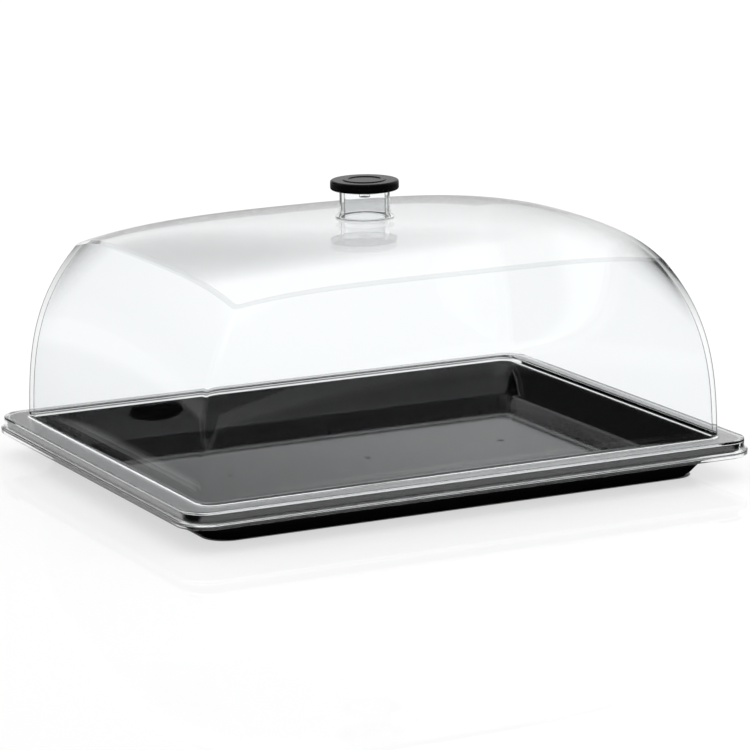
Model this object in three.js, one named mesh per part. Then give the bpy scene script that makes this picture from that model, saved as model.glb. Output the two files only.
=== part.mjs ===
// A covered serving or propagation tray: a shallow black tray with a flat lip, a clear crowned dome whose
// skirt drops around the lip, and a black disc knob on a clear hollow collar.
// Units are millimetres, +Z is up, and the origin is the centre of the tray's resting face.

import * as THREE from 'three';

// ---------------------------------------------------------------- driving dimensions

const RIM_LENGTH = 400;          // over the upper edge of the dome's flange, along X
const RIM_WIDTH = 320;           // the same, along Y
const FLANGE_TOP_Z = 27;         // top of the flange above the resting face
const FIT_GAP = 0.3;             // air between pieces that rest on each other

// dome cover
const WALL = 3;                  // moulded wall of the dome
const FLANGE_WALL = 2;
const FLANGE_RADIUS = 17.5;      // plan corner radius of the flange
const FLANGE_EDGE = 0.9;         // rounding of the flange's upper edge
const SKIRT_STEP_Z = 19.6;       // height where the skirt steps out
const SKIRT_STEP = 2.3;          // how far it steps out
const SKIRT_BOTTOM_Z = 16;
const SKIRT_WALL = 2.3;
const FOOT_INSET = 14.7;         // dome wall's foot, in from the flange's edge
const FOOT_RADIUS = 10;          // plan corner radius at the foot
const FOOT_FILLET = 1.6;
const CREASE_INSET_X = 48;       // corner of the crease, in from the flange's edge
const CREASE_INSET_Y = 34.5;
const CREASE_RADIUS = 3.5;       // the crease is nearly mitred at its corners
const CREASE_BOW_X = 5.5;        // how far each crease bows out at mid side
const CREASE_BOW_Y = 8.2;
const CROWN_HEIGHT = 140.2;      // apex above the flange's top
const CROWN_DROP_X = 3.6;        // parts of the fall from the apex to a crease corner
const CROWN_DROP_Y = 5.6;
const CROWN_DROP_EDGE = 13.9;
const WALL_LEAN = 0.08;          // share of the wall's lean that is straight; the rest grows with height

// tray
const LIP_INSET = 3.2;           // lip's outer edge, in from the flange's edge
const LIP_RADIUS = 14.5;
const LIP_THICKNESS = 2.2;
const LIP_EDGE_HEIGHT = 6.8;     // the lip's edge turns down this far
const LIP_EDGE_THICKNESS = 2;
const MOUTH_INSET = 15;          // inner edge of the lip
const FLOOR_INSET = 28.6;        // where the sloping wall meets the floor
const TRAY_CORNER = 9;           // plan corner radius of the tray's wall
const TRAY_WALL = 2.3;           // measured level, under the lip
const FLOOR_Z = 5.2;
const FLOOR_FILLET = 3;
const BASE_Z = 1.8;              // flat of the base, above the foot ring
const BASE_INSET = 26;           // corner of the outer wall and the base
const BASE_FILLET = 2.4;
const BASE_CORNER = 16;          // plan corner radius of the base and its foot ring
const FOOT_RING_INSET = 27.5;
const FOOT_RING_WIDTH = 5;
const RECESS_Z = 2.2;            // underside inside the foot ring

// knob
const COLLAR_HEIGHT = 19;
const COLLAR_RADIUS = 16.4;
const COLLAR_WALL = 1.9;
const COLLAR_FOOT_RADIUS = 19.4;
const COLLAR_FLARE_HEIGHT = 5.5;
const COLLAR_TOP = 1.8;          // web that closes the collar's top
const BOSS_RADIUS = 3.6;
const BOSS_LENGTH = 4.3;
const CAP_RADIUS = 22.5;
const CAP_THICKNESS = 6.3;       // without the ring on its top
const CAP_EDGE = 1.2;
const CAP_RING_HEIGHT = 0.5;
const CAP_SEAT_DEPTH = 1.2;      // counterbore that sits over the collar

// fineness of the faceted surfaces
const CORNER_STEPS = 6;
const LONG_SIDE_STEPS = 10;
const SHORT_SIDE_STEPS = 8;
const ROUND_STEPS = 48;

const halfLength = RIM_LENGTH / 2;
const halfWidth = RIM_WIDTH / 2;
const lipTopZ = FLANGE_TOP_Z - FLANGE_WALL - FIT_GAP;

// ---------------------------------------------------------------- shared shape helpers

// Plan outline of a rounded rectangle of half sizes a and b, as x and y, anticlockwise from +X.
function outline(a, b, radius) {
  const points = [];
  const corners = [[1, 1, 0], [-1, 1, 1], [-1, -1, 2], [1, -1, 3]];
  for (const [sx, sy, quarter] of corners) {
    for (let i = 0; i <= CORNER_STEPS; i += 1) {
      const angle = (quarter + i / CORNER_STEPS) * Math.PI / 2;
      points.push([
        sx * (a - radius) + radius * Math.cos(angle),
        sy * (b - radius) + radius * Math.sin(angle),
      ]);
    }
    const along = quarter % 2 === 0;
    const steps = along ? LONG_SIDE_STEPS : SHORT_SIDE_STEPS;
    for (let i = 1; i < steps; i += 1) {
      const k = 1 - 2 * i / steps;
      points.push(along ? [sx * k * (a - radius), sy * b] : [sx * a, sy * k * (b - radius)]);
    }
  }
  return points;
}

// A level ring of the outline, set in from the flange's edge.
function levelRing(inset, radius, z) {
  return outline(halfLength - inset, halfWidth - inset, radius)
    .map(([x, y]) => new THREE.Vector3(x, y, z));
}

// Quarter-round profile points from one direction to another about a centre, in (inset, z).
function arcProfile(centreInset, centreZ, radius, fromDeg, toDeg, steps) {
  const points = [];
  for (let i = 0; i <= steps; i += 1) {
    const angle = THREE.MathUtils.degToRad(fromDeg + (toDeg - fromDeg) * i / steps);
    points.push([centreInset - radius * Math.cos(angle), centreZ + radius * Math.sin(angle)]);
  }
  return points;
}

// Closed skin from a pole, through rings of equal length, to a second pole.
function skin(startPole, rings, endPole) {
  const count = rings[0].length;
  const positions = [];
  const push = (v) => positions.push(v.x, v.y, v.z);
  push(startPole);
  rings.forEach((ring) => ring.forEach(push));
  push(endPole);
  const last = positions.length / 3 - 1;
  const at = (ring, i) => 1 + ring * count + (i % count);
  const index = [];
  for (let i = 0; i < count; i += 1) {
    index.push(0, at(0, i), at(0, i + 1));
    index.push(last, at(rings.length - 1, i + 1), at(rings.length - 1, i));
  }
  for (let r = 0; r + 1 < rings.length; r += 1) {
    for (let i = 0; i < count; i += 1) {
      index.push(at(r, i), at(r + 1, i), at(r + 1, i + 1));
      index.push(at(r, i), at(r + 1, i + 1), at(r, i + 1));
    }
  }
  const geometry = new THREE.BufferGeometry();
  geometry.setAttribute('position', new THREE.Float32BufferAttribute(positions, 3));
  geometry.setIndex(index);
  geometry.computeVertexNormals();
  return geometry;
}

// ---------------------------------------------------------------- dome cover

const creaseA = halfLength - CREASE_INSET_X;
const creaseB = halfWidth - CREASE_INSET_Y;

// Height of the crown over the flange: a shallow paraboloid whose fall quickens towards the crease.
function crownHeight(x, y) {
  const s = x / creaseA;
  const t = y / creaseB;
  return CROWN_HEIGHT - CROWN_DROP_X * s ** 2 - CROWN_DROP_Y * t ** 2
    - CROWN_DROP_EDGE * (s ** 4 + t ** 4) / 2;
}

// Crease outline, drawn in by the offset: each side bows out between mitred corners.
function creaseOutline(offset) {
  const a = creaseA - offset;
  const b = creaseB - offset;
  return outline(a, b, Math.max(CREASE_RADIUS - offset, 1)).map(([x, y]) => {
    const s = x / a;
    const t = y / b;
    return [s * (a + CREASE_BOW_X * (1 - t ** 2)), t * (b + CREASE_BOW_Y * (1 - s ** 2))];
  });
}

// Crown ring: the crease outline shrunk by a share, on the crown lowered by the offset.
function crownRing(share, offset) {
  return creaseOutline(offset).map(([x, y]) => {
    const z = FLANGE_TOP_Z + crownHeight(share * x, share * y) - offset;
    return new THREE.Vector3(share * x, share * y, z);
  });
}

// Wall ring: from the foot outline (rise 0) to the crease (rise 1), leaning in faster near the top.
function wallRing(rise, offset, footZ) {
  const foot = outline(
    halfLength - FOOT_INSET - offset,
    halfWidth - FOOT_INSET - offset,
    FOOT_RADIUS - offset,
  );
  const top = crownRing(1, offset);
  const lean = WALL_LEAN * rise + (1 - WALL_LEAN) * rise ** 3;
  return foot.map(([x, y], i) => new THREE.Vector3(
    x + (top[i].x - x) * lean,
    y + (top[i].y - y) * lean,
    footZ + (top[i].z - footZ) * rise,
  ));
}

function domeCover() {
  const crownShares = [0.15, 0.35, 0.55, 0.73, 0.88];
  const rises = [1, 0.9, 0.78, 0.62, 0.45, 0.25, 0.04];
  const underZ = FLANGE_TOP_Z - FLANGE_WALL;
  const profile = [
    [FOOT_INSET - FOOT_FILLET, FLANGE_TOP_Z, FOOT_RADIUS],
    ...arcProfile(FLANGE_EDGE, FLANGE_TOP_Z - FLANGE_EDGE, FLANGE_EDGE, 90, 0, 2),
    [0, SKIRT_STEP_Z + 0.6],
    [-SKIRT_STEP + 0.5, SKIRT_STEP_Z],
    [-SKIRT_STEP, SKIRT_STEP_Z - 0.6],
    [-SKIRT_STEP, SKIRT_BOTTOM_Z],
    [-SKIRT_STEP + SKIRT_WALL, SKIRT_BOTTOM_Z],
    [-SKIRT_STEP + SKIRT_WALL, SKIRT_STEP_Z - 1.6],
    [SKIRT_WALL, SKIRT_STEP_Z - 0.6],
    [SKIRT_WALL, underZ],
    [FOOT_INSET + WALL - FOOT_FILLET, underZ, FOOT_RADIUS - WALL],
  ];
  const rings = [
    ...crownShares.map((share) => crownRing(share, 0)),
    ...rises.map((rise) => wallRing(rise, 0, FLANGE_TOP_Z)),
    ...profile.map(([inset, z, radius]) => levelRing(inset, radius ?? FLANGE_RADIUS - inset, z)),
    ...rises.map((rise) => wallRing(rise, WALL, underZ)).reverse(),
    ...crownShares.map((share) => crownRing(share, WALL)).reverse(),
  ];
  const apexZ = FLANGE_TOP_Z + CROWN_HEIGHT;
  return skin(new THREE.Vector3(0, 0, apexZ), rings, new THREE.Vector3(0, 0, apexZ - WALL));
}

// ---------------------------------------------------------------- tray

function tray() {
  const lipUnderZ = lipTopZ - LIP_THICKNESS;
  const slope = (FLOOR_INSET - MOUTH_INSET) / (lipTopZ - FLOOR_Z);
  const wallInset = (z) => MOUTH_INSET + slope * (lipTopZ - z);
  const filletTopZ = FLOOR_Z + FLOOR_FILLET * 0.7;
  const profile = [
    [FLOOR_INSET + FLOOR_FILLET, FLOOR_Z, TRAY_CORNER],
    [FLOOR_INSET + FLOOR_FILLET * 0.25, FLOOR_Z + FLOOR_FILLET * 0.13, TRAY_CORNER],
    [wallInset(filletTopZ), filletTopZ, TRAY_CORNER],
    [wallInset(lipTopZ - 1.2), lipTopZ - 1.2, TRAY_CORNER],
    [MOUTH_INSET - 0.4, lipTopZ - 0.2, TRAY_CORNER],
    [MOUTH_INSET - 1.4, lipTopZ, TRAY_CORNER],
    [LIP_INSET + 0.6, lipTopZ, LIP_RADIUS - 0.6],
    [LIP_INSET, lipTopZ - 0.6, LIP_RADIUS],
    [LIP_INSET, lipTopZ - LIP_EDGE_HEIGHT, LIP_RADIUS],
    [LIP_INSET + LIP_EDGE_THICKNESS, lipTopZ - LIP_EDGE_HEIGHT, LIP_RADIUS - LIP_EDGE_THICKNESS],
    [LIP_INSET + LIP_EDGE_THICKNESS, lipUnderZ, LIP_RADIUS - LIP_EDGE_THICKNESS],
    [wallInset(lipUnderZ) - TRAY_WALL, lipUnderZ, TRAY_CORNER],
    [BASE_INSET - BASE_FILLET * 0.5, BASE_Z + BASE_FILLET * 0.85, BASE_CORNER],
    [BASE_INSET - BASE_FILLET * 0.1, BASE_Z + BASE_FILLET * 0.3, BASE_CORNER],
    [BASE_INSET + BASE_FILLET * 0.5, BASE_Z, BASE_CORNER],
    [FOOT_RING_INSET, BASE_Z, BASE_CORNER],
    [FOOT_RING_INSET + 0.3, 0, BASE_CORNER],
    [FOOT_RING_INSET + FOOT_RING_WIDTH, 0, BASE_CORNER],
    [FOOT_RING_INSET + FOOT_RING_WIDTH + 0.3, RECESS_Z, BASE_CORNER],
  ];
  const rings = profile.map(([inset, z, radius]) => levelRing(inset, radius, z));
  return skin(new THREE.Vector3(0, 0, FLOOR_Z), rings, new THREE.Vector3(0, 0, RECESS_Z));
}

// ---------------------------------------------------------------- knob

// Clear cup, mouth down: a flared foot, a straight wall, a closed top and a short centre boss.
function knobCollar() {
  const profile = [
    [0, COLLAR_HEIGHT - COLLAR_TOP - BOSS_LENGTH],
    [BOSS_RADIUS, COLLAR_HEIGHT - COLLAR_TOP - BOSS_LENGTH],
    [BOSS_RADIUS, COLLAR_HEIGHT - COLLAR_TOP],
    [COLLAR_RADIUS - COLLAR_WALL, COLLAR_HEIGHT - COLLAR_TOP],
    [COLLAR_RADIUS - COLLAR_WALL, 0],
    [COLLAR_FOOT_RADIUS - 0.4, 0],
    [COLLAR_FOOT_RADIUS, 0.5],
  ];
  const flare = COLLAR_FOOT_RADIUS - COLLAR_RADIUS;
  for (let i = 1; i <= 4; i += 1) {
    const angle = i / 4 * Math.PI / 2;
    profile.push([
      COLLAR_FOOT_RADIUS - flare * Math.sin(angle),
      0.5 + COLLAR_FLARE_HEIGHT * (1 - Math.cos(angle)),
    ]);
  }
  profile.push([COLLAR_RADIUS, COLLAR_HEIGHT], [0, COLLAR_HEIGHT]);
  return new THREE.LatheGeometry(profile.map(([r, z]) => new THREE.Vector2(r, z)), ROUND_STEPS);
}

// Black disc with rounded edges, a shallow ring moulded in its top and a seat for the collar below.
function knobCap() {
  const seatRadius = COLLAR_RADIUS + FIT_GAP;
  const profile = [
    [0, CAP_SEAT_DEPTH],
    [seatRadius, CAP_SEAT_DEPTH],
    [seatRadius, 0],
    [CAP_RADIUS - CAP_EDGE, 0],
    [CAP_RADIUS - CAP_EDGE * 0.29, CAP_EDGE * 0.29],
    [CAP_RADIUS, CAP_EDGE],
    [CAP_RADIUS, CAP_THICKNESS - CAP_EDGE],
    [CAP_RADIUS - CAP_EDGE * 0.29, CAP_THICKNESS - CAP_EDGE * 0.29],
    [CAP_RADIUS - CAP_EDGE, CAP_THICKNESS],
    [14.6, CAP_THICKNESS],
    [14.2, CAP_THICKNESS + CAP_RING_HEIGHT],
    [10.8, CAP_THICKNESS + CAP_RING_HEIGHT],
    [10.4, CAP_THICKNESS],
    [0, CAP_THICKNESS],
  ];
  return new THREE.LatheGeometry(profile.map(([r, z]) => new THREE.Vector2(r, z)), ROUND_STEPS);
}

// ---------------------------------------------------------------- assembly

const blackPlastic = new THREE.MeshStandardMaterial({ color: 0x0c0c0d, roughness: 0.12, metalness: 0 });
const knobBlack = new THREE.MeshStandardMaterial({ color: 0x111112, roughness: 0.22, metalness: 0 });
const clearPlastic = new THREE.MeshStandardMaterial({
  color: 0xf4fafb, roughness: 0.03, metalness: 0, transparent: true, opacity: 0.3,
});
const clearKnob = new THREE.MeshStandardMaterial({
  color: 0xf6fafb, roughness: 0.04, metalness: 0, transparent: true, opacity: 0.35,
});

function named(name, geometry, material) {
  const mesh = new THREE.Mesh(geometry, material);
  mesh.name = name;
  return mesh;
}

const trayMesh = named('tray', tray(), blackPlastic);
const domeMesh = named('dome_cover', domeCover(), clearPlastic);

// The knob stands upright on the crown: lathe profiles turn about Y, so they are stood up along Z.
const knob = new THREE.Group();
knob.position.z = FLANGE_TOP_Z + CROWN_HEIGHT + FIT_GAP;
const collarMesh = named('knob_collar', knobCollar(), clearKnob);
collarMesh.rotation.x = Math.PI / 2;
const capMesh = named('knob_cap', knobCap(), knobBlack);
capMesh.rotation.x = Math.PI / 2;
capMesh.position.z = COLLAR_HEIGHT + FIT_GAP - CAP_SEAT_DEPTH;
knob.add(collarMesh, capMesh);

const lid = new THREE.Group();
lid.add(domeMesh, knob);

const model = new THREE.Group();
model.add(trayMesh, lid);

export default model;
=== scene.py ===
"""Looks for a covered tray: a glossy black tray, a clear crowned dome over it and a black disc knob.

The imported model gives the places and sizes. Every visible piece is a surface worked out here from the same
driving dimensions, finer than the working model, and rides on the body that it belongs to.
"""

import math

import bpy
import numpy as np
from bpy.props import FloatProperty, FloatVectorProperty, IntProperty, PointerProperty
from bpy.types import Operator, Panel, PropertyGroup
from mathutils import Matrix, Vector


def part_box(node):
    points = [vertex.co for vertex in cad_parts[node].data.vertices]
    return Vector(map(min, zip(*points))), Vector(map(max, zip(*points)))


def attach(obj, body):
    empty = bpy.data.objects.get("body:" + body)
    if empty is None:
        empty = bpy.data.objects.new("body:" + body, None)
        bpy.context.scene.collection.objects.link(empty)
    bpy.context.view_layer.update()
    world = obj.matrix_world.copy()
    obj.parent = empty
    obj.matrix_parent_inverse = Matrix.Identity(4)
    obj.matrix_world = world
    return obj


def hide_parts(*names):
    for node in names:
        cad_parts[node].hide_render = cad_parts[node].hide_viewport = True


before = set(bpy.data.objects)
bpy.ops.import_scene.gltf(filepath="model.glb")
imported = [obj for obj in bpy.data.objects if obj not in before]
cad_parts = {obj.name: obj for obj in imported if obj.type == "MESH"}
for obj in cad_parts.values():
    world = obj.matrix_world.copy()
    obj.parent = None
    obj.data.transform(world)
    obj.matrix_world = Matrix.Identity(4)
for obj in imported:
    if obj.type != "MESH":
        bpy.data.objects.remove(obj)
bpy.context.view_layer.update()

bl_info = {
    "name": "Covered tray",
    "version": (1, 0, 0),
    "blender": (4, 5, 0),
    "location": "View3D > Sidebar > Covered tray",
    "description": "Builds a black tray, its clear dome cover and the knob round the packed model",
    "category": "Add Mesh",
}

MM = 0.001
TRAY_LOW, TRAY_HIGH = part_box("tray")
DOME_LOW, DOME_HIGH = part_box("dome_cover")
COLLAR_LOW, COLLAR_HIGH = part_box("knob_collar")
CAP_LOW, CAP_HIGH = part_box("knob_cap")
WALL_PART, RIM_PART, CROWN_PART, CREASE_PART = range(4)

# Shape
SHARP_ANGLE = math.radians(35)        # edges that turn more than this stay sharp
CURVE_STEPS = 5                       # steps in a rounded edge, and in a rounded edge of the tray
TRAY_CURVE_STEPS = 7
LINE_SHARE = 0.42                     # most of a line that one rounding takes
GUARD_SHARE = 0.15                    # how far outside a rounding its guard rings lie, over its reach
LEAST_RADIUS = 0.5 * MM               # a crease corner's inner radius is never less
FOOT_FILLET = 1.7 * MM                # reach of the rounding at the wall's foot, outside and inside
INNER_FOOT_FILLET = 1.5 * MM
LEVEL_RUN = 14 * MM                   # level strip between a floor's edge and its fan of faces
WALL_SAG = (0.52, 0.48)               # hollow of the tray's wall: shares of its run and of its height
MARK_HEIGHT = 0.22 * MM
MARK_ROOT = 0.3 * MM                  # how deep a moulding mark is sunk into the floor
FLARE_STEPS = 9                       # steps in the collar's flare
RING_BEVEL = 0.4 * MM                 # slope at the sides of the cap's raised ring
FLOOR_SIDES = 96

# Plastics
CLEAR_IOR = 1.5
EDGE_SHADE_SLANTS = (0.62, 0.82)                # slants between which clear plastic turns to its edge colour, a painted shade
GRAIN_FADE = (0.9 * MM, 0.2 * MM)     # heights over the tray's floor between which the grain comes in
DRIFT_SCALE = 9.0                     # patches of slightly different polish, and moulded waves, in a metre
WAVE_SCALE = 16.0

# Light that mirrors see: ramps as (from, to, value at from, value at to)
BACKDROP_RAMP = (0.0, 0.36, 0.6, 0.92)
FRONT_RAMP = (0.5, 0.85, 0.0, 2.0)
FRONT_DIRECTION = (-0.45, -0.89, 0.0)
FRONT_TURN = (-0.2, 0.4, 0.0, 1.0)
DARK_CARDS = (                        # direction, and the ramp of the cosine of the angle from it
    ((-0.37, 0.87, 0.33), (0.92, 0.97, 1.0, 0.1)),
    ((0.3, 0.87, 0.39), (0.975, 0.998, 1.0, 0.15)),
)

# Floor
FLOOR_MATT = 0.33
FLOOR_GLOW = 0.6
FLOOR_GLOSS = 0.09
BASE_SHADOW_BLUR = 0.6 * MM
UNDER_RIM_SHADOW = (0.195, 0.155, 0.02, 0.02)        # half sizes, corner and blur of the painted shadow under the rim, seen in mirrors
NEAR_FLOOR_LIGHT = (0.25, 0.26, 0.05, 0.015)        # half sizes, corner and blur of the painted, lit pale border round it
FAR_RAMP = (0.95, 1.5, 0.02, 0.6)             # tone in mirrors by distance from the object


# ---------------------------------------------------------------- settings

def length(name, description, default):
    """A length property in metres."""
    return FloatProperty(name=name, description=description, default=default, min=0.0, subtype="DISTANCE")


def colour(name, description, default):
    """An RGB colour property."""
    return FloatVectorProperty(name=name, description=description, default=default, subtype="COLOR",
                               size=3, min=0.0, max=1.0)


def count(name, description, default):
    """A number of steps."""
    return IntProperty(name=name, description=description, default=default, min=4)


def factor(name, description, default):
    """A share between 0 and 1."""
    return FloatProperty(name=name, description=description, default=default, min=0.0, max=1.0,
                         subtype="FACTOR")


def refraction(name, description, default):
    """A refractive index."""
    return FloatProperty(name=name, description=description, default=default, min=1.0)


class CoveredTrayFineness(PropertyGroup):
    """How finely the surfaces are divided."""

    corner_steps: count("Corner steps", "Steps round each plan corner", 18)
    long_steps: count("Long side steps", "Steps along a long side", 44)
    short_steps: count("Short side steps", "Steps along a short side", 36)
    crown_steps: count("Crown steps", "Rings from apex to crease", 24)
    wall_steps: count("Wall steps", "Rings from crease to foot", 30)
    turn_steps: count("Turn steps", "Steps round the knob", 128)


class CoveredTrayDome(PropertyGroup):
    """Sizes of the clear dome cover."""

    skirt_step: length("Skirt step", "How far the skirt's lower band stands out", 2.3 * MM)
    skirt_step_z: length("Skirt step height", "Height of the step over the resting face", 19.6 * MM)
    skirt_wall: length("Skirt wall", "Thickness of the skirt", 2.3 * MM)
    wall: length("Wall", "Thickness of the dome", 3.0 * MM)
    flange_wall: length("Flange wall", "Thickness of the flange", 2.0 * MM)
    flange_radius: length("Flange corner", "Plan radius of the flange's corners", 17.5 * MM)
    crown_height: length("Crown height", "Apex over the flange's top", 140.2 * MM)
    foot_inset: length("Foot inset", "From the flange's edge to the wall's foot", 14.7 * MM)
    foot_radius: length("Foot corner", "Plan radius at the wall's foot", 10.0 * MM)
    crease_inset_x: length("Crease inset X", "From the flange's edge to the crease corner, in X", 48.0 * MM)
    crease_inset_y: length("Crease inset Y", "From the flange's edge to the crease corner, in Y", 34.5 * MM)
    crease_radius: length("Crease corner", "Plan radius at the crease's corners", 2.5 * MM)
    crease_bow_x: length("Crease bow X", "How far the short creases bow out", 5.5 * MM)
    crease_bow_y: length("Crease bow Y", "How far the long creases bow out", 8.2 * MM)
    drop_x: length("Crown drop X", "Parabolic fall from apex to crease corner, in X", 3.6 * MM)
    drop_y: length("Crown drop Y", "Parabolic fall from apex to crease corner, in Y", 5.6 * MM)
    drop_edge: length("Crown edge drop", "Further fall that comes near the creases", 13.9 * MM)
    crease_round: length("Crease rounding", "Reach of the outer rounding from the crease", 2.0 * MM)
    wall_lean: factor("Wall lean", "Share of the wall's lean that is straight", 0.08)


class CoveredTrayTray(PropertyGroup):
    """Sizes of the black tray."""

    lip_radius: length("Lip corner", "Plan radius of the lip's outer corners", 14.5 * MM)
    lip_thickness: length("Lip thickness", "Thickness of the flat lip", 2.2 * MM)
    lip_edge: length("Lip edge height", "Height of the lip's turned-down edge", 6.8 * MM)
    lip_edge_wall: length("Lip edge thickness", "Thickness of the turned-down edge", 2.0 * MM)
    mouth_inset: length("Mouth inset", "From the lip's edge to the mouth", 11.8 * MM)
    floor_inset: length("Floor inset", "From the lip's edge to the floor's edge", 25.4 * MM)
    corner: length("Wall corner", "Plan radius of the wall's corners", 9.0 * MM)
    wall: length("Wall", "Thickness of the wall, measured level under the lip", 2.3 * MM)
    floor_z: length("Floor height", "Top of the floor over the resting face", 5.2 * MM)
    base_z: length("Base height", "Flat of the base over the resting face", 1.8 * MM)
    base_corner: length("Base corner", "Plan radius of the base and its foot ring", 16.0 * MM)
    base_inset: length("Base inset", "From the lip's edge to the outer wall's bottom corner", 22.8 * MM)
    foot_inset: length("Foot ring inset", "From the lip's edge to the foot ring", 24.3 * MM)
    foot_width: length("Foot ring width", "Width of the foot ring", 5.0 * MM)
    recess_z: length("Recess height", "Underside inside the foot ring", 2.2 * MM)
    mark_radius: length("Gate mark", "Radius of each moulding mark on the floor", 2.6 * MM)
    mark_spacing: length("Gate mark spacing", "Distance between moulding marks", 100.0 * MM)


class CoveredTrayKnob(PropertyGroup):
    """Sizes of the clear collar and the black cap."""

    collar_radius: length("Collar radius", "Outer radius of the collar's straight part", 16.4 * MM)
    collar_wall: length("Collar wall", "Thickness of the collar", 1.9 * MM)
    flare_height: length("Flare height", "Height of the collar's flared foot", 5.5 * MM)
    flare_edge: length("Flare edge", "Height of the flare's upright rim", 0.5 * MM)
    collar_top: length("Collar top", "Thickness of the web that closes the collar", 1.8 * MM)
    boss_radius: length("Boss radius", "Radius of the boss under the web", 3.6 * MM)
    boss_length: length("Boss length", "Length of the boss", 4.3 * MM)
    seat_depth: length("Seat depth", "Depth of the cap's seat over the collar", 1.2 * MM)
    seat_gap: length("Seat gap", "Air round the collar in the cap's seat", 0.3 * MM)
    cap_edge: length("Cap edge", "Rounding of the cap's edges", 1.6 * MM)
    ring_inner: length("Ring inside", "Inner radius of the raised ring on the cap", 10.4 * MM)
    ring_outer: length("Ring outside", "Outer radius of the raised ring on the cap", 14.6 * MM)
    ring_height: length("Ring height", "Height of the raised ring", 0.5 * MM)


class CoveredTrayFinish(PropertyGroup):
    """Colours and gloss of the two plastics, with the painted shade of the clear plastic along the crease and
    at its edges.
    """

    black: colour("Black", "Colour of the tray", (0.002, 0.002, 0.0023))
    knob_black: colour("Knob black", "Colour of the cap", (0.0015, 0.0015, 0.0018))
    tray_index: refraction("Tray index", "Refractive index that sets the tray's gloss", 1.31)
    tray_smooth: factor("Tray polish", "Roughness of the tray's polished walls", 0.02)
    tray_grained: factor("Tray grain", "Roughness of the tray's grained floor", 0.045)
    tray_relief: length("Tray relief", "Depth of the grain on the tray's floor", 0.004 * MM)
    cap_index: refraction("Cap index", "Refractive index that sets the cap's gloss", 1.14)
    cap_grained: factor("Cap grain", "Roughness of the cap", 0.16)
    cap_relief: length("Cap relief", "Depth of the grain on the cap", 0.002 * MM)
    clear: colour("Clear", "Tint of the clear plastic", (0.985, 0.996, 1.0))
    # Painted shade: the crease tint greys the clear plastic along the crease, for the dark line seen there.
    crease: colour("Crease", "Tint of the thick plastic along the crease", (0.76, 0.78, 0.78))
    # Painted shade: the edge tint darkens the clear plastic where it is seen edge on, for its dark outlines.
    edge: colour("Edge", "Tint of the plastic where it is seen edge on", (0.01, 0.011, 0.011))
    wall_bend: refraction("Wall bend", "Refraction in the dome's thin even wall", 1.01)
    collar_bend: refraction("Collar bend", "Refraction in the collar's thin wall", 1.06)
    wall_gloss: factor("Wall gloss", "Weight of the polish on the walls and the collar", 0.35)
    crown_gloss: factor("Crown gloss", "Weight of the polish on the crown", 1.0)
    waviness: length("Waviness", "Depth of the moulded waves in the dome", 0.02 * MM)


class CoveredTrayStage(PropertyGroup):
    """Camera, floor and light."""

    azimuth: FloatProperty(name="Azimuth", description="Camera's bearing", subtype="ANGLE",
                           default=math.radians(-26.685))
    elevation: FloatProperty(name="Elevation", description="Camera's height angle", subtype="ANGLE",
                             default=math.radians(12.293))
    roll: FloatProperty(name="Roll", description="Camera's tilt about its view", subtype="ANGLE",
                        default=math.radians(-0.772))
    distance: length("Distance", "Camera to the point it looks at", 2542.9 * MM)
    target_side: length("Target side", "How far right of the middle the camera looks", 5.2 * MM)
    target_z: length("Target height", "Height that the camera looks at", 61.2 * MM)
    lens: FloatProperty(name="Lens", description="Focal length in millimetres", default=185.05, min=1.0)
    sensor: FloatProperty(name="Sensor", description="Width of the sensor in millimetres", default=36.0,
                          min=1.0)
    floor_radius: length("Floor radius", "Radius of the floor", 60.0)
    light: FloatProperty(name="Light", description="Strength of the even studio light", default=1.12, min=0.0)


# ---------------------------------------------------------------- surfaces

def plan_outline(half_x, half_y, radius):
    """Rounded rectangle, anticlockwise from +X: quarter arcs of the radius, joined by evenly divided straight
    runs."""
    steps = bpy.context.scene.covered_tray_fineness
    quarter = np.linspace(0, math.pi / 2, steps.corner_steps + 1)
    parts = []
    for turn, (sx, sy) in enumerate(((1, 1), (-1, 1), (-1, -1), (1, -1))):
        cx, cy = sx * (half_x - radius), sy * (half_y - radius)
        angle = quarter + turn * math.pi / 2
        parts.append(np.stack([cx + radius * np.cos(angle), cy + radius * np.sin(angle)], axis=1))
        along_x = turn % 2 == 0
        run = np.linspace(1, -1, (steps.long_steps if along_x else steps.short_steps) + 1)[1:-1]
        if along_x:
            side = run * cx, np.full_like(run, sy * half_y)
        else:
            side = np.full_like(run, sx * half_x), run * cy
        parts.append(np.stack(side, axis=1))
    return np.concatenate(parts)


def level_ring(half_x, half_y, radius, z):
    """The rounded rectangle at one height, as an (N, 3) array."""
    plan = plan_outline(half_x, half_y, radius)
    return np.column_stack([plan, np.full(len(plan), z)])


def soften(rings, reaches, steps=CURVE_STEPS):
    """Rounds a profile of rings. Where a ring's reach isn't 0, it becomes the quadratic curve that leaves the
    line from the ring before it at that reach, and joins the line to the next ring at the same reach, though
    it takes no more than a set share of either line. A further ring just outside each end keeps the flats
    beside the curve flat. Also gives the ring that each came from."""
    out, sources = [], []
    t = np.linspace(0, 1, steps + 1)[:, None, None]
    for i, reach in enumerate(reaches):
        corner = rings[i]
        if not reach or i == 0 or i == len(rings) - 1:
            out.append(corner[None])
            sources.append(i)
            continue
        before, after = rings[i - 1] - corner, rings[i + 1] - corner
        size_a = np.linalg.norm(before, axis=1, keepdims=True)
        size_b = np.linalg.norm(after, axis=1, keepdims=True)
        start = corner + before / size_a * np.minimum(reach, LINE_SHARE * size_a)
        end = corner + after / size_b * np.minimum(reach, LINE_SHARE * size_b)
        curve = (1 - t) ** 2 * start + 2 * t * (1 - t) * corner + t ** 2 * end
        guard_a = start + (start - corner) * GUARD_SHARE
        guard_b = end + (end - corner) * GUARD_SHARE
        out.append(np.concatenate([guard_a[None], curve, guard_b[None]]))
        sources += [i] * (steps + 3)
    return np.concatenate(out), np.array(sources)


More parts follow.
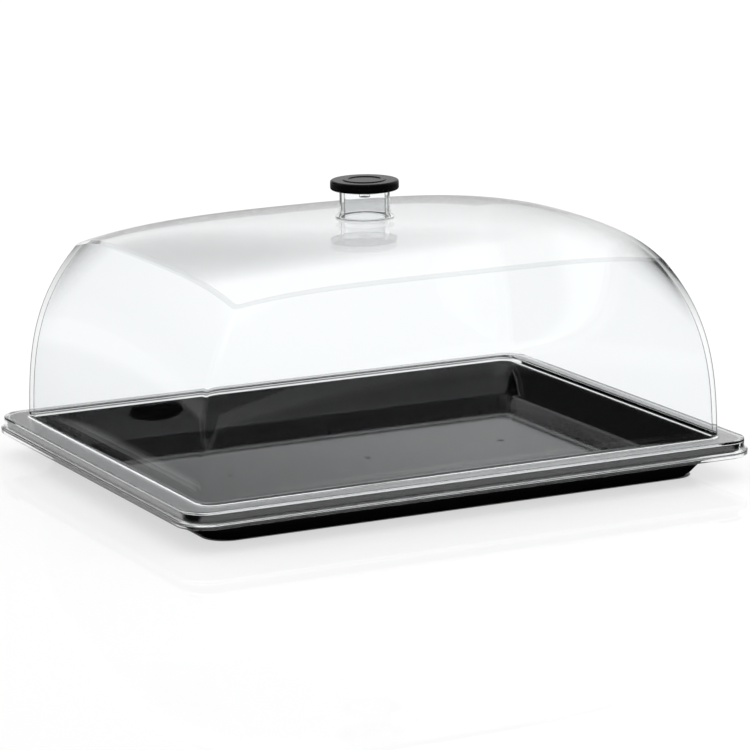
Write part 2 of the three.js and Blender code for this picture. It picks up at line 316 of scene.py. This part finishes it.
def closed_skin(name, rings, start, end):
    """Closed mesh through a stack of equal rings, with a fan to a pole at each end. rings is (R, N, 3), and
    vertex 1 + r * N + i is point i of ring r."""
    count, around = rings.shape[:2]
    verts = np.concatenate([np.array([start]), rings.reshape(-1, 3), np.array([end])])
    i = np.arange(around)
    j = (i + 1) % around
    rows = 1 + around * np.arange(count - 1)[:, None]
    quads = np.stack([rows + i, rows + around + i, rows + around + j, rows + j], axis=2).reshape(-1, 4)
    last = 1 + around * (count - 1)
    top = np.stack([np.zeros(around, int), 1 + i, 1 + j], axis=1)
    bottom = np.stack([np.full(around, len(verts) - 1), last + j, last + i], axis=1)
    mesh = bpy.data.meshes.new(name)
    mesh.from_pydata(verts.tolist(), [], quads.tolist() + top.tolist() + bottom.tolist())
    return finished(name, mesh)


def turned(name, profile, reaches):
    """Closed surface of revolution about Z. The profile is radius and height pairs that start and end on the
    axis, softened as a stack of rings is; its first and last points become the poles."""
    around = bpy.context.scene.covered_tray_fineness.turn_steps
    angle = np.linspace(0, 2 * math.pi, around, endpoint=False)
    unit = np.stack([np.cos(angle), np.sin(angle), np.zeros(around)], axis=1)
    rings = np.stack([unit * r + np.array([0, 0, z]) for r, z in profile[1:-1]])
    return closed_skin(name, soften(rings, reaches)[0], (0, 0, profile[0][1]), (0, 0, profile[-1][1]))


def finished(name, mesh):
    """Smooth-shaded object of the mesh at the origin, with only real corners left sharp."""
    mesh.validate()
    mesh.shade_smooth()
    mesh.set_sharp_from_angle(angle=SHARP_ANGLE)
    piece = bpy.data.objects.new(name, mesh)
    bpy.context.scene.collection.objects.link(piece)
    return piece


def place(piece, body, slot, material, *nodes):
    """Gives the piece its material and body, and hides the nodes that it stands for. The slot is not used."""
    piece.data.materials.append(material)
    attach(piece, body)
    if nodes:
        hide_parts(*nodes)


# ---------------------------------------------------------------- dome shape

def dome_sizes(dome):
    """Half sizes of the flange's upper edge, and of the crease's corners."""
    half_x = DOME_HIGH.x - dome.skirt_step
    half_y = DOME_HIGH.y - dome.skirt_step
    return half_x, half_y, half_x - dome.crease_inset_x, half_y - dome.crease_inset_y


def crown_ring(dome, share, offset):
    """The crease outline shrunk by the share and laid on the crown. The crown falls from its apex by
    drop_x s^2 + drop_y t^2 + drop_edge (s^4 + t^4) / 2, where s and t are x and y over the crease corner's.
    Each crease bows out by its bow times 1 - t^2 or 1 - s^2. The offset draws the outline in and the crown
    down."""
    _, _, a, b = dome_sizes(dome)
    plan = plan_outline(a - offset, b - offset, max(dome.crease_radius - offset, LEAST_RADIUS))
    s, t = plan[:, 0] / (a - offset), plan[:, 1] / (b - offset)
    x = share * s * (a - offset + dome.crease_bow_x * (1 - t ** 2))
    y = share * t * (b - offset + dome.crease_bow_y * (1 - s ** 2))
    s, t = x / a, y / b
    drop = dome.drop_x * s ** 2 + dome.drop_y * t ** 2 + dome.drop_edge * (s ** 4 + t ** 4) / 2
    return np.column_stack([x, y, DOME_HIGH.z - drop - offset])


def wall_ring(dome, rise, offset, foot_z):
    """Between the foot outline (rise 0) and the crease (rise 1): the height goes straight, and the plan leans
    in by wall_lean rise + (1 - wall_lean) rise^3 of the way."""
    half_x, half_y, _, _ = dome_sizes(dome)
    inset = dome.foot_inset + offset
    foot = level_ring(half_x - inset, half_y - inset, dome.foot_radius - offset, foot_z)
    top = crown_ring(dome, 1.0, offset)
    lean = dome.wall_lean * rise + (1 - dome.wall_lean) * rise ** 3
    way = np.array([lean, lean, rise])
    return foot + (top - foot) * way


def dome_rings(dome):
    """Rings of the whole dome: crown and wall outside, round the flange and skirt, then wall and crown
    inside. Also the part of the dome that each ring begins."""
    steps = bpy.context.scene.covered_tray_fineness
    half_x, half_y, _, _ = dome_sizes(dome)
    flange_z = DOME_HIGH.z - dome.crown_height
    under_z = flange_z - dome.flange_wall
    shares = np.linspace(0.0, 1.0, steps.crown_steps + 1)[1:]
    rises = np.linspace(1.0, 0.0, steps.wall_steps + 1)
    outer_crown = [crown_ring(dome, s, 0.0) for s in shares[:-1]]
    outer_wall = [wall_ring(dome, g, 0.0, flange_z) for g in rises]
    inner_wall = [wall_ring(dome, g, dome.wall, under_z) for g in rises[::-1]]
    inner_crown = [crown_ring(dome, s, dome.wall) for s in shares[:-1][::-1]]
    step, skirt = dome.skirt_step, dome.skirt_wall
    # Each row: how far in from the flange's edge, height, and reach of the rounding.
    edge = [
        (0.0, flange_z, 1.1 * MM),
        (0.0, dome.skirt_step_z + 0.5 * MM, 0.5 * MM),
        (-step, dome.skirt_step_z, 0.7 * MM),
        (-step, DOME_LOW.z, 0.7 * MM),
        (skirt - step, DOME_LOW.z, 0.5 * MM),
        (skirt - step, dome.skirt_step_z - 1.6 * MM, 0.6 * MM),
        (skirt, dome.skirt_step_z - 1.0 * MM, 0.6 * MM),
        (skirt, under_z, 0.8 * MM),
    ]
    edge_rings = [level_ring(half_x - i, half_y - i, dome.flange_radius - i, z) for i, z, _ in edge]
    rings = outer_crown + outer_wall + edge_rings + inner_wall + inner_crown
    reaches = [0.0] * len(rings)
    crease = len(outer_crown)
    foot = crease + len(outer_wall) - 1
    reaches[crease] = dome.crease_round
    reaches[foot] = FOOT_FILLET
    reaches[foot + 1:foot + 1 + len(edge)] = [r for _, _, r in edge]
    reaches[foot + 1 + len(edge)] = INNER_FOOT_FILLET
    sections = [CROWN_PART] * len(outer_crown) + [CREASE_PART] + [WALL_PART] * (len(outer_wall) - 2)
    sections += [RIM_PART] * (len(edge) + 2) + [WALL_PART] * (len(inner_wall) - 2)
    sections += [CROWN_PART] * (len(inner_crown) + 1)
    softened, sources = soften(np.stack(rings), reaches)
    return softened, np.array(sections)[sources]


# ---------------------------------------------------------------- tray shape

def tray_rings(tray):
    """Rings of the whole tray, from the floor's edge up the hollow inner wall, round the lip, down the outer
    wall and in under the foot ring."""
    half_x, half_y, top = TRAY_HIGH.x, TRAY_HIGH.y, TRAY_HIGH.z
    run = tray.floor_inset - tray.mouth_inset
    sag_in, sag_up = WALL_SAG
    slope = run / (top - tray.floor_z)
    under = top - tray.lip_thickness
    edge_z = top - tray.lip_edge
    inner_lip = tray.lip_edge_wall
    outer_mouth = tray.mouth_inset + slope * tray.lip_thickness - tray.wall
    foot_end = tray.foot_inset + tray.foot_width
    hollow_z = tray.floor_z + sag_up * (top - tray.floor_z)
    # Each row: how far in from the lip's edge, height, plan corner radius, and reach of the rounding.
    profile = [
        (tray.floor_inset + LEVEL_RUN, tray.floor_z, tray.corner, 0.0),
        (tray.floor_inset, tray.floor_z, tray.corner, 2.6 * MM),
        (tray.floor_inset - sag_in * run, hollow_z, tray.corner, 8.0 * MM),
        (tray.mouth_inset, top, tray.corner, 1.2 * MM),
        (0.0, top, tray.lip_radius, 0.6 * MM),
        (0.0, edge_z, tray.lip_radius, 0.4 * MM),
        (inner_lip, edge_z, tray.lip_radius - inner_lip, 0.4 * MM),
        (inner_lip, under, tray.lip_radius - inner_lip, 0.4 * MM),
        (outer_mouth, under, tray.corner, 0.8 * MM),
        (tray.base_inset, tray.base_z, tray.base_corner, 2.0 * MM),
        (tray.foot_inset, tray.base_z, tray.base_corner, 0.2 * MM),
        (tray.foot_inset + 0.3 * MM, 0.0, tray.base_corner, 0.2 * MM),
        (foot_end, 0.0, tray.base_corner, 0.4 * MM),
        (foot_end + 0.4 * MM, tray.recess_z, tray.base_corner, 0.4 * MM),
        (foot_end + LEVEL_RUN, tray.recess_z, tray.base_corner, 0.0),
    ]
    rings = np.stack([level_ring(half_x - i, half_y - i, r, z) for i, z, r, _ in profile])
    return soften(rings, [reach for _, _, _, reach in profile], TRAY_CURVE_STEPS)[0]


def gate_mark(name, x, tray):
    """Shallow lens left by moulding: its height falls as 1 - (r / radius)^2 from its middle, and its root is
    sunk into the floor."""
    radius, root = tray.mark_radius, tray.floor_z - MARK_ROOT
    rim = [(radius * k, tray.floor_z + MARK_HEIGHT * (1 - k * k)) for k in (0.3, 0.6, 0.8, 0.92, 1.0)]
    profile = [(0.0, tray.floor_z + MARK_HEIGHT), *rim, (radius, root), (0.0, root)]
    piece = turned(name, profile, [0.0] * (len(profile) - 2))
    piece.data.transform(Matrix.Translation((x, 0.0, 0.0)))
    return piece


# ---------------------------------------------------------------- materials

class Nodes:
    """Short calls for building one node tree."""

    def __init__(self, tree):
        self.tree = tree

    def new(self, kind, **values):
        """Node of that kind, with its properties and then its inputs set by name."""
        node = self.tree.nodes.new(kind)
        for key, value in values.items():
            if hasattr(node, key):
                setattr(node, key, value)
            else:
                node.inputs[key.replace("_", " ")].default_value = value
        return node

    def join(self, source, target):
        """Link from an output to an input."""
        self.tree.links.new(source, target)

    def ramp(self, source, limits):
        """Output that goes straight from one value to another between two values of the source, and stays
        level beyond them. limits holds the two values of the source, and then what they give."""
        low, high, at_low, at_high = limits
        node = self.new("ShaderNodeMapRange", From_Min=low, From_Max=high, To_Min=at_low, To_Max=at_high)
        self.join(source, node.inputs["Value"])
        return node.outputs["Result"]

    def product(self, first, second):
        """Output that is an output times an output or a number."""
        node = self.new("ShaderNodeMath", operation="MULTIPLY")
        self.join(first, node.inputs[0])
        if isinstance(second, float):
            node.inputs[1].default_value = second
        else:
            self.join(second, node.inputs[1])
        return node.outputs[0]


def moulded_grain_group():
    """Shared effect: fine moulded texture. A mask fades the grain. The group gives a height, and a roughness
    that drifts slowly over the surface."""
    tree = bpy.data.node_groups.new("moulded_grain", "ShaderNodeTree")
    for label, default in (("Grain Scale", 2200.0), ("Mask", 1.0), ("Smooth Roughness", 0.06),
                           ("Grain Roughness", 0.2), ("Drift", 0.01)):
        socket = tree.interface.new_socket(label, in_out="INPUT", socket_type="NodeSocketFloat")
        socket.default_value = default
    for label in ("Height", "Roughness"):
        tree.interface.new_socket(label, in_out="OUTPUT", socket_type="NodeSocketFloat")
    n = Nodes(tree)
    given = n.new("NodeGroupInput")
    result = n.new("NodeGroupOutput")
    where = n.new("ShaderNodeTexCoord")
    grain = n.new("ShaderNodeTexNoise", Detail=2.0, Roughness=0.6)
    n.join(where.outputs["Object"], grain.inputs["Vector"])
    n.join(given.outputs["Grain Scale"], grain.inputs["Scale"])
    n.join(n.product(grain.outputs["Fac"], given.outputs["Mask"]), result.inputs["Height"])
    drift = n.new("ShaderNodeTexNoise", Scale=DRIFT_SCALE, Detail=3.0)
    n.join(where.outputs["Object"], drift.inputs["Vector"])
    centred = n.new("ShaderNodeMath", operation="MULTIPLY_ADD")
    n.join(drift.outputs["Fac"], centred.inputs[0])
    n.join(given.outputs["Drift"], centred.inputs[1])
    base = n.new("ShaderNodeMix", data_type="FLOAT")
    n.join(given.outputs["Mask"], base.inputs["Factor"])
    n.join(given.outputs["Smooth Roughness"], base.inputs[2])
    n.join(given.outputs["Grain Roughness"], base.inputs[3])
    n.join(base.outputs[0], centred.inputs[2])
    n.join(centred.outputs[0], result.inputs["Roughness"])
    return tree


def shared(name, maker):
    """The node group of that name, made on first use."""
    return bpy.data.node_groups.get(name) or maker()


def new_material(name):
    """Empty material with its output node, and its Nodes helper."""
    material = bpy.data.materials.new(name)
    material.use_nodes = True
    material.node_tree.nodes.clear()
    n = Nodes(material.node_tree)
    return material, n, n.new("ShaderNodeOutputMaterial")


def black_plastic(name, tint, ior, grained, relief_depth, floor_z=None, smooth=0.0):
    """Glossy black moulded plastic with a fine moulded grain. Where floor_z is given, only what is at that
    height or below carries the grain, and the rest is polished to the smooth roughness."""
    material, n, out = new_material(name)
    skin = n.new("ShaderNodeBsdfPrincipled", Base_Color=(*tint, 1.0), IOR=ior)
    grain = n.new("ShaderNodeGroup", node_tree=shared("moulded_grain", moulded_grain_group))
    grain.inputs["Smooth Roughness"].default_value = smooth
    grain.inputs["Grain Roughness"].default_value = grained
    if floor_z is not None:
        where = n.new("ShaderNodeTexCoord")
        axes = n.new("ShaderNodeSeparateXYZ")
        polished, full = GRAIN_FADE
        n.join(where.outputs["Object"], axes.inputs[0])
        mask = n.ramp(axes.outputs["Z"], (floor_z + polished, floor_z + full, 0.0, 1.0))
        n.join(mask, grain.inputs["Mask"])
    relief = n.new("ShaderNodeBump", Distance=relief_depth)
    n.join(grain.outputs["Height"], relief.inputs["Height"])
    n.join(grain.outputs["Roughness"], skin.inputs["Roughness"])
    n.join(relief.outputs["Normal"], skin.inputs["Normal"])
    n.join(skin.outputs[0], out.inputs["Surface"])
    return material


def clear_plastic(name, tint, bend, gloss, wave, edge=None):
    """Polished clear plastic. bend is the refraction of the plastic's body, gloss the weight of a coat that
    reflects as clear plastic does, and wave the depth of its moulded waves. Where edge is given, a surface
    seen edge on takes that tint as painted shade for its dark outlines, and loses its coat, except in a
    mirror. Light casts no more shadow through it than through a tinted pane."""
    material, n, out = new_material(name)
    skin = n.new("ShaderNodeBsdfPrincipled", Base_Color=(*tint, 1.0), IOR=bend)
    skin.inputs["Roughness"].default_value = 0.0
    skin.inputs["Transmission Weight"].default_value = 1.0
    skin.inputs["Coat Weight"].default_value = gloss
    skin.inputs["Coat IOR"].default_value = CLEAR_IOR
    skin.inputs["Coat Roughness"].default_value = 0.0
    if edge is not None:
        # Painted shade: faces seen edge on turn towards the edge tint.
        slant = n.new("ShaderNodeLayerWeight", Blend=0.5)
        edge_shade_mask = n.new("ShaderNodeMapRange", From_Min=EDGE_SHADE_SLANTS[0], From_Max=EDGE_SHADE_SLANTS[1])
        shade = n.new("ShaderNodeMix", data_type="RGBA")
        shade.inputs[6].default_value = (*tint, 1.0)
        shade.inputs[7].default_value = (*edge, 1.0)
        n.join(slant.outputs["Facing"], edge_shade_mask.inputs["Value"])
        direct = n.new("ShaderNodeMath", operation="SUBTRACT")
        direct.inputs[0].default_value = 1.0
        n.join(mirrored_rays(n), direct.inputs[1])
        n.join(direct.outputs[0], edge_shade_mask.inputs["To Max"])
        n.join(edge_shade_mask.outputs["Result"], shade.inputs["Factor"])
        n.join(shade.outputs[2], skin.inputs["Base Color"])
        n.join(n.ramp(edge_shade_mask.outputs["Result"], (0.0, 1.0, gloss, 0.0)), skin.inputs["Coat Weight"])
    where = n.new("ShaderNodeTexCoord")
    ripple = n.new("ShaderNodeTexNoise", Scale=WAVE_SCALE, Detail=1.0)
    relief = n.new("ShaderNodeBump", Distance=wave)
    n.join(where.outputs["Object"], ripple.inputs["Vector"])
    n.join(ripple.outputs["Fac"], relief.inputs["Height"])
    n.join(relief.outputs["Normal"], skin.inputs["Normal"])
    pane = n.new("ShaderNodeBsdfTransparent", Color=(*tint, 1.0))
    path = n.new("ShaderNodeLightPath")
    mix = n.new("ShaderNodeMixShader")
    n.join(path.outputs["Is Shadow Ray"], mix.inputs["Fac"])
    n.join(skin.outputs[0], mix.inputs[1])
    n.join(pane.outputs[0], mix.inputs[2])
    n.join(mix.outputs[0], out.inputs["Surface"])
    return material


def mirrored_rays(n):
    """Output that is 1 for a ray that has been mirrored by something, and 0 for any other."""
    path = n.new("ShaderNodeLightPath")
    mirrored = n.new("ShaderNodeMath", operation="GREATER_THAN")
    mirrored.inputs[1].default_value = 0.5
    n.join(path.outputs["Glossy Depth"], mirrored.inputs[0])
    return mirrored.outputs[0]


def towards(n, vector, direction, limits):
    """Output that follows the ramp of those limits as the vector's reach along the direction grows."""
    reach = n.new("ShaderNodeVectorMath", operation="DOT_PRODUCT")
    reach.inputs[1].default_value = direction
    n.join(vector, reach.inputs[0])
    return n.ramp(reach.outputs["Value"], limits)


def studio_world(light):
    """Even white light. What is mirrored sees the studio's front, dark but for the light overhead, the white
    backdrop darken towards the horizon, and two soft dark cards before it."""
    world = bpy.data.worlds.new("studio")
    world.use_nodes = True
    world.cycles.sampling_method = "NONE"
    world.node_tree.nodes.clear()
    n = Nodes(world.node_tree)
    out = n.new("ShaderNodeOutputWorld")
    where = n.new("ShaderNodeTexCoord")
    axes = n.new("ShaderNodeSeparateXYZ")
    direction = where.outputs["Generated"]
    n.join(direction, axes.inputs[0])
    studio = n.new("ShaderNodeMix", data_type="FLOAT")
    n.join(towards(n, direction, FRONT_DIRECTION, FRONT_TURN), studio.inputs["Factor"])
    n.join(n.ramp(axes.outputs["Z"], BACKDROP_RAMP), studio.inputs[2])
    n.join(n.ramp(axes.outputs["Z"], FRONT_RAMP), studio.inputs[3])
    pattern = studio.outputs[0]
    for card, limits in DARK_CARDS:
        pattern = n.product(pattern, towards(n, direction, card, limits))
    tone = n.new("ShaderNodeMix", data_type="FLOAT")
    tone.inputs[2].default_value = 1.0
    n.join(mirrored_rays(n), tone.inputs["Factor"])
    n.join(pattern, tone.inputs[3])
    sky = n.new("ShaderNodeBackground", Color=(1.0, 1.0, 1.0, 1.0))
    n.join(n.product(tone.outputs[0], light), sky.inputs["Strength"])
    n.join(sky.outputs[0], out.inputs["Surface"])
    return world


def outside(n, position, half_x, half_y, corner, blur):
    """Output that is 0 over the rectangle of those half sizes and corner radius, and rises to 1 within the
    blur outside it."""
    size = n.new("ShaderNodeVectorMath", operation="ABSOLUTE")
    over = n.new("ShaderNodeVectorMath", operation="SUBTRACT")
    over.inputs[1].default_value = (half_x - corner, half_y - corner, 1.0)
    past = n.new("ShaderNodeVectorMath", operation="MAXIMUM")
    past.inputs[1].default_value = (0.0, 0.0, 0.0)
    reach = n.new("ShaderNodeVectorMath", operation="LENGTH")
    n.join(position, size.inputs[0])
    n.join(size.outputs[0], over.inputs[0])
    n.join(over.outputs[0], past.inputs[0])
    n.join(past.outputs[0], reach.inputs[0])
    return n.ramp(reach.outputs["Value"], (corner, corner + blur, 0.0, 1.0))


def floor_material(half_x, half_y, corner):
    """Pale floor with a faint gloss and glow, but no glow under the tray's base, which has those half sizes
    and corner radius, so that a painted shadow lies there. In a mirror it shows painted light and shade:
    a painted shadow under the rim, a pale lit border round it, dark again past that, and pale far away."""
    material, n, out = new_material("studio_floor")
    where = n.new("ShaderNodeTexCoord")
    position = where.outputs["Object"]
    matt = n.new("ShaderNodeBsdfDiffuse", Color=(FLOOR_MATT, FLOOR_MATT, FLOOR_MATT, 1.0))
    glow = n.new("ShaderNodeEmission", Color=(1.0, 1.0, 1.0, 1.0))
    # Painted shadow: the floor has no glow under the tray's base.
    lit_floor = outside(n, position, half_x, half_y, corner, BASE_SHADOW_BLUR)
    n.join(n.product(lit_floor, FLOOR_GLOW), glow.inputs["Strength"])
    gloss = n.new("ShaderNodeBsdfGlossy", Color=(FLOOR_GLOSS, FLOOR_GLOSS, FLOOR_GLOSS, 1.0), Roughness=0.0)
    lit = n.new("ShaderNodeAddShader")
    pale = n.new("ShaderNodeAddShader")
    n.join(matt.outputs[0], lit.inputs[0])
    n.join(glow.outputs[0], lit.inputs[1])
    n.join(lit.outputs[0], pale.inputs[0])
    n.join(gloss.outputs[0], pale.inputs[1])
    reach = n.new("ShaderNodeVectorMath", operation="LENGTH")
    n.join(position, reach.inputs[0])
    # Painted light and shade that mirrors see on the floor: a shadow under the rim and a lit border round it.
    tone = n.new("ShaderNodeMix", data_type="FLOAT")
    n.join(outside(n, position, *UNDER_RIM_SHADOW), tone.inputs[2])
    n.join(outside(n, position, *NEAR_FLOOR_LIGHT), tone.inputs["Factor"])
    n.join(n.ramp(reach.outputs["Value"], FAR_RAMP), tone.inputs[3])
    seen = n.new("ShaderNodeEmission", Color=(1.0, 1.0, 1.0, 1.0))
    n.join(tone.outputs[0], seen.inputs["Strength"])
    mix = n.new("ShaderNodeMixShader")
    n.join(mirrored_rays(n), mix.inputs["Fac"])
    n.join(pale.outputs[0], mix.inputs[1])
    n.join(seen.outputs[0], mix.inputs[2])
    n.join(mix.outputs[0], out.inputs["Surface"])
    return material


# ---------------------------------------------------------------- operators

class COVERED_TRAY_OT_tray(Operator):
    """Builds the black tray and the moulding marks on its floor"""

    bl_idname = "covered_tray.tray"
    bl_label = "Tray"

    def execute(self, context):
        tray, finish = context.scene.covered_tray_tray, context.scene.covered_tray_finish
        plastic = black_plastic("tray_plastic", finish.black, finish.tray_index, finish.tray_grained,
                                finish.tray_relief, tray.floor_z, finish.tray_smooth)
        body = closed_skin("tray_moulding", tray_rings(tray), (0, 0, tray.floor_z), (0, 0, tray.recess_z))
        place(body, "tray", "tray_black", plastic, "tray")
        for index, side in enumerate((-1, 0, 1)):
            mark = gate_mark(f"tray_mark_{index + 1}", side * tray.mark_spacing, tray)
            place(mark, "tray", "tray_black", plastic)
        return {"FINISHED"}


class COVERED_TRAY_OT_dome(Operator):
    """Builds the clear dome cover with its flange and skirt"""

    bl_idname = "covered_tray.dome"
    bl_label = "Dome"

    def execute(self, context):
        dome, finish = context.scene.covered_tray_dome, context.scene.covered_tray_finish
        bend, tint, wave = finish.wall_bend, finish.clear, finish.waviness
        # The wall plastic takes the painted edge shade where it is seen edge on.
        plastics = [
            clear_plastic("dome_wall_plastic", tint, bend, finish.wall_gloss, wave, finish.edge),
            clear_plastic("dome_rim_plastic", tint, CLEAR_IOR, 0.0, 0.0),
            clear_plastic("dome_crown_plastic", tint, bend, finish.crown_gloss, wave),
            # The crease strip's grey tint is painted shade for the dark line along the crease.
            clear_plastic("dome_crease_shade_plastic", finish.crease, bend, finish.wall_gloss, 0.0),
        ]
        apex = DOME_HIGH.z
        rings, parts = dome_rings(dome)
        shell = closed_skin("dome_shell", rings, (0, 0, apex), (0, 0, apex - dome.wall))
        place(shell, "dome", "clear_cover", plastics[0], "dome_cover")
        for plastic in plastics[1:]:
            shell.data.materials.append(plastic)
        around = rings.shape[1]
        begun, next_part = parts[:-1], parts[1:]
        strips = np.where(np.isin(begun, (RIM_PART, CREASE_PART)), next_part, begun)
        rows = np.concatenate([np.repeat(strips, around), np.full(2 * around, CROWN_PART)])
        shell.data.polygons.foreach_set("material_index", rows.astype(np.int32))
        return {"FINISHED"}


class COVERED_TRAY_OT_collar(Operator):
    """Builds the clear hollow collar under the knob's cap"""

    bl_idname = "covered_tray.collar"
    bl_label = "Collar"

    def execute(self, context):
        knob, finish = context.scene.covered_tray_knob, context.scene.covered_tray_finish
        low, high, foot = COLLAR_LOW.z, COLLAR_HIGH.z, COLLAR_HIGH.x
        web = high - knob.collar_top
        inner = knob.collar_radius - knob.collar_wall
        profile = [
            (0.0, web - knob.boss_length),
            (knob.boss_radius, web - knob.boss_length),
            (knob.boss_radius, web),
            (inner, web),
            (inner, low),
            (foot, low),
            (foot, low + knob.flare_edge),
        ]
        flare = foot - knob.collar_radius
        for turn in np.linspace(0.0, math.pi / 2, FLARE_STEPS + 1)[1:]:
            rise = knob.flare_edge + knob.flare_height * (1 - math.cos(turn))
            profile.append((foot - flare * math.sin(turn), low + rise))
        reaches = [0.4, 0.6, 0.8, 0.3, 0.2, 0.15] + [0.0] * FLARE_STEPS + [0.4]
        profile += [(knob.collar_radius, high), (0.0, high)]
        piece = turned("collar_moulding", profile, [r * MM for r in reaches])
        # The collar plastic takes the painted edge shade where it is seen edge on.
        plastic = clear_plastic("collar_plastic", finish.clear, finish.collar_bend, finish.wall_gloss, 0.0,
                                finish.edge)
        place(piece, "dome", "clear_collar", plastic, "knob_collar")
        return {"FINISHED"}


class COVERED_TRAY_OT_cap(Operator):
    """Builds the black disc that the cover is lifted by"""

    bl_idname = "covered_tray.cap"
    bl_label = "Cap"

    def execute(self, context):
        knob, finish = context.scene.covered_tray_knob, context.scene.covered_tray_finish
        low, radius = CAP_LOW.z, CAP_HIGH.x
        top = CAP_HIGH.z - knob.ring_height
        seat = knob.collar_radius + knob.seat_gap
        profile = [
            (0.0, low + knob.seat_depth),
            (seat, low + knob.seat_depth),
            (seat, low),
            (radius, low),
            (radius, top),
            (knob.ring_outer, top),
            (knob.ring_outer - RING_BEVEL, CAP_HIGH.z),
            (knob.ring_inner + RING_BEVEL, CAP_HIGH.z),
            (knob.ring_inner, top),
            (0.0, top),
        ]
        reaches = [0.3, 0.3, knob.cap_edge / MM, knob.cap_edge / MM, 0.4, 0.4, 0.4, 0.4]
        piece = turned("cap_moulding", profile, [r * MM for r in reaches])
        plastic = black_plastic("cap_plastic", finish.knob_black, finish.cap_index, finish.cap_grained,
                                finish.cap_relief)
        place(piece, "dome", "knob_black", plastic, "knob_cap")
        return {"FINISHED"}


class COVERED_TRAY_OT_stage(Operator):
    """Sets the camera, the pale floor and the studio light"""

    bl_idname = "covered_tray.stage"
    bl_label = "Stage"

    def execute(self, context):
        stage = context.scene.covered_tray_stage
        self.camera(context, stage)
        angle = np.linspace(0, 2 * math.pi, FLOOR_SIDES, endpoint=False)
        rim = np.stack([np.cos(angle), np.sin(angle), np.zeros(FLOOR_SIDES)], axis=1) * stage.floor_radius
        mesh = bpy.data.meshes.new("floor")
        mesh.from_pydata(rim.tolist(), [], [list(range(FLOOR_SIDES))])
        floor = bpy.data.objects.new("floor", mesh)
        tray = context.scene.covered_tray_tray
        base_x, base_y = TRAY_HIGH.x - tray.base_inset, TRAY_HIGH.y - tray.base_inset
        mesh.materials.append(floor_material(base_x, base_y, tray.base_corner))
        context.scene.collection.objects.link(floor)
        context.scene.world = studio_world(stage.light)
        context.scene.view_settings.view_transform = "Standard"
        return {"FINISHED"}

    def camera(self, context, stage):
        """Camera on a sphere round the point that it looks at, turned about its view by the roll."""
        az, el = stage.azimuth, stage.elevation
        back = Vector((math.sin(az) * math.cos(el), -math.cos(az) * math.cos(el), math.sin(el)))
        right = Vector((math.cos(az), math.sin(az), 0.0))
        up = back.cross(right)
        centre = Vector((0, 0, stage.target_z)) + right * stage.target_side + back * stage.distance
        turned_right = right * math.cos(stage.roll) + up * math.sin(stage.roll)
        turned_up = up * math.cos(stage.roll) - right * math.sin(stage.roll)
        data = bpy.data.cameras.new("camera")
        data.lens = stage.lens
        data.sensor_width = stage.sensor
        data.clip_end = 200.0
        camera = bpy.data.objects.new("camera", data)
        axes = Matrix((turned_right, turned_up, back)).transposed().to_4x4()
        camera.matrix_world = Matrix.Translation(centre) @ axes
        context.scene.collection.objects.link(camera)
        context.scene.camera = camera


class COVERED_TRAY_PT_panel(Panel):
    """Lists the steps that build the covered tray"""

    bl_label = "Covered tray"
    bl_idname = "COVERED_TRAY_PT_panel"
    bl_space_type = "VIEW_3D"
    bl_region_type = "UI"
    bl_category = "Covered tray"

    def draw(self, context):
        for step in STEPS:
            self.layout.operator(step.bl_idname)


STEPS = (
    COVERED_TRAY_OT_stage,
    COVERED_TRAY_OT_tray,
    COVERED_TRAY_OT_dome,
    COVERED_TRAY_OT_collar,
    COVERED_TRAY_OT_cap,
)
GROUPS = {
    "covered_tray_fineness": CoveredTrayFineness,
    "covered_tray_dome": CoveredTrayDome,
    "covered_tray_tray": CoveredTrayTray,
    "covered_tray_knob": CoveredTrayKnob,
    "covered_tray_finish": CoveredTrayFinish,
    "covered_tray_stage": CoveredTrayStage,
}


def register():
    """Registers the classes and hangs the settings on the scene."""
    for cls in (*GROUPS.values(), *STEPS, COVERED_TRAY_PT_panel):
        bpy.utils.register_class(cls)
    for name, cls in GROUPS.items():
        setattr(bpy.types.Scene, name, PointerProperty(type=cls))


def unregister():
    """Undoes register."""
    for name in GROUPS:
        delattr(bpy.types.Scene, name)
    for cls in (COVERED_TRAY_PT_panel, *reversed(STEPS), *reversed(tuple(GROUPS.values()))):
        bpy.utils.unregister_class(cls)


def main():
    """Builds everything in order."""
    register()
    bpy.ops.covered_tray.stage()
    bpy.ops.covered_tray.tray()
    bpy.ops.covered_tray.dome()
    bpy.ops.covered_tray.collar()
    bpy.ops.covered_tray.cap()


if __name__ == "__main__":
    main()
